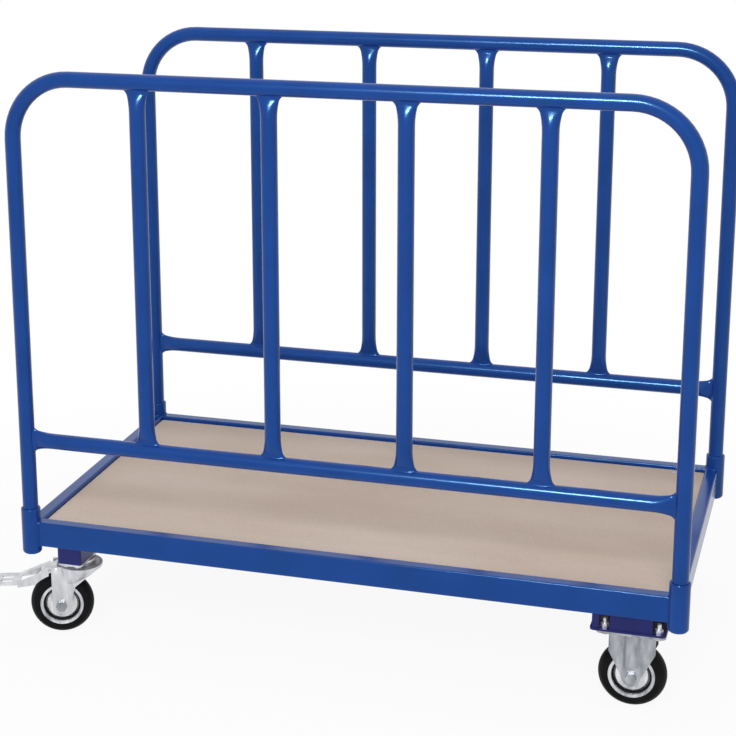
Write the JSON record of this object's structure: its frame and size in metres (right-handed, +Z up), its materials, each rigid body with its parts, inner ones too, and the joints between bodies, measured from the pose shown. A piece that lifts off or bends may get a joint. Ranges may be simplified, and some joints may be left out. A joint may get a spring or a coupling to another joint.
{
  "type": "stanchion trolley",
  "caption": "Platform trolley with a welded steel frame and a sunk deck board on swivel and fixed casters, with tall tubular side hoops that plug into corner sockets.",
  "frame": {"origin": "on the floor, in the middle of the overall length and width", "axes": "+X along the trolley from the swivel casters to the fixed casters, +Z up, -Y the front"},
  "size_m": [1.354, 0.732, 1.129],
  "materials": {
    "blue_paint": "smooth gentian blue powder coat",
    "bracket_paint": "dark indigo powder coat",
    "zinc": "bright zinc plate",
    "tyre": "solid charcoal rubber",
    "board": "greige coated chipboard",
    "bush": "grey nylon"
  },
  "bodies": {
    "frame": {"front_rail": "blue_paint", "rear_rail": "blue_paint", "left_end_rail": "blue_paint", "right_end_rail": "blue_paint", "deck_board": "board", "deck_ledges": "blue_paint", "cross_bearers": "blue_paint", "deck_screws": "zinc", "caster_bolts": "zinc", "caster_nuts": "zinc", "front_left_socket": "blue_paint", "front_right_socket": "blue_paint", "rear_left_socket": "blue_paint", "rear_right_socket": "blue_paint", "front_left_bracket": "bracket_paint", "front_right_bracket": "bracket_paint", "rear_left_bracket": "bracket_paint", "rear_right_bracket": "bracket_paint", "front_fixed_fork": "zinc", "front_fixed_axle": "zinc", "front_swivel_plate": "zinc", "front_king_pin": "zinc", "rear_fixed_fork": "zinc", "rear_fixed_axle": "zinc", "rear_swivel_plate": "zinc", "rear_king_pin": "zinc"},
    "front_hoop": {"front_hoop_tube": "blue_paint", "front_lower_rail": "blue_paint", "front_stanchion_1": "blue_paint", "front_stanchion_2": "blue_paint", "front_stanchion_3": "blue_paint", "front_stanchion_4": "blue_paint"},
    "front_swivel": {"front_swivel_fork": "zinc", "front_ball_ring": "zinc", "front_brake_pin": "zinc", "front_swivel_axle": "zinc"},
    "front_brake": {"front_brake_pedal": "zinc"},
    "front_swivel_wheel": {"front_swivel_tyre": "tyre", "front_swivel_rim": "zinc", "front_swivel_hub_bush": "bush"},
    "front_fixed_wheel": {"front_fixed_tyre": "tyre", "front_fixed_rim": "zinc", "front_fixed_hub_bush": "bush"},
    "rear_hoop": {"rear_hoop_tube": "blue_paint", "rear_lower_rail": "blue_paint", "rear_stanchion_1": "blue_paint", "rear_stanchion_2": "blue_paint", "rear_stanchion_3": "blue_paint", "rear_stanchion_4": "blue_paint"},
    "rear_swivel": {"rear_swivel_fork": "zinc", "rear_ball_ring": "zinc", "rear_brake_pin": "zinc", "rear_swivel_axle": "zinc"},
    "rear_brake": {"rear_brake_pedal": "zinc"},
    "rear_swivel_wheel": {"rear_swivel_tyre": "tyre", "rear_swivel_rim": "zinc", "rear_swivel_hub_bush": "bush"},
    "rear_fixed_wheel": {"rear_fixed_tyre": "tyre", "rear_fixed_rim": "zinc", "rear_fixed_hub_bush": "bush"}
  },
  "joints": [
    {"name": "front_hoop_lift", "type": "slide", "parent": "frame", "child": "front_hoop", "axis": [0, 0, 1], "range_m": [0, 0.12]},
    {"name": "front_swivel_turn", "type": "hinge", "parent": "frame", "child": "front_swivel", "pos_m": [-0.51403, -0.285, 0.15], "axis": [0, 0, 1], "continuous": true},
    {"name": "front_brake_press", "type": "hinge", "parent": "front_swivel", "child": "front_brake", "pos_m": [-0.55726, -0.30073, 0.1365], "axis": [0.342, -0.9397, 0], "range_deg": [0, 11]},
    {"name": "front_swivel_wheel_spin", "type": "hinge", "parent": "front_swivel", "child": "front_swivel_wheel", "pos_m": [-0.54974, -0.298, 0.0625], "axis": [-0.342, 0.9397, 0], "continuous": true},
    {"name": "front_fixed_wheel_spin", "type": "hinge", "parent": "frame", "child": "front_fixed_wheel", "pos_m": [0.57597, -0.285, 0.0625], "axis": [0, 1, 0], "continuous": true},
    {"name": "rear_hoop_lift", "type": "slide", "parent": "frame", "child": "rear_hoop", "axis": [0, 0, 1], "range_m": [0, 0.12]},
    {"name": "rear_swivel_turn", "type": "hinge", "parent": "frame", "child": "rear_swivel", "pos_m": [-0.51403, 0.285, 0.15], "axis": [0, 0, 1], "continuous": true},
    {"name": "rear_brake_press", "type": "hinge", "parent": "rear_swivel", "child": "rear_brake", "pos_m": [-0.55726, 0.30073, 0.1365], "axis": [-0.342, -0.9397, 0], "range_deg": [0, 11]},
    {"name": "rear_swivel_wheel_spin", "type": "hinge", "parent": "rear_swivel", "child": "rear_swivel_wheel", "pos_m": [-0.54974, 0.298, 0.0625], "axis": [0.342, 0.9397, 0], "continuous": true},
    {"name": "rear_fixed_wheel_spin", "type": "hinge", "parent": "frame", "child": "rear_fixed_wheel", "pos_m": [0.57597, 0.285, 0.0625], "axis": [0, 1, 0], "continuous": true}
  ]
}
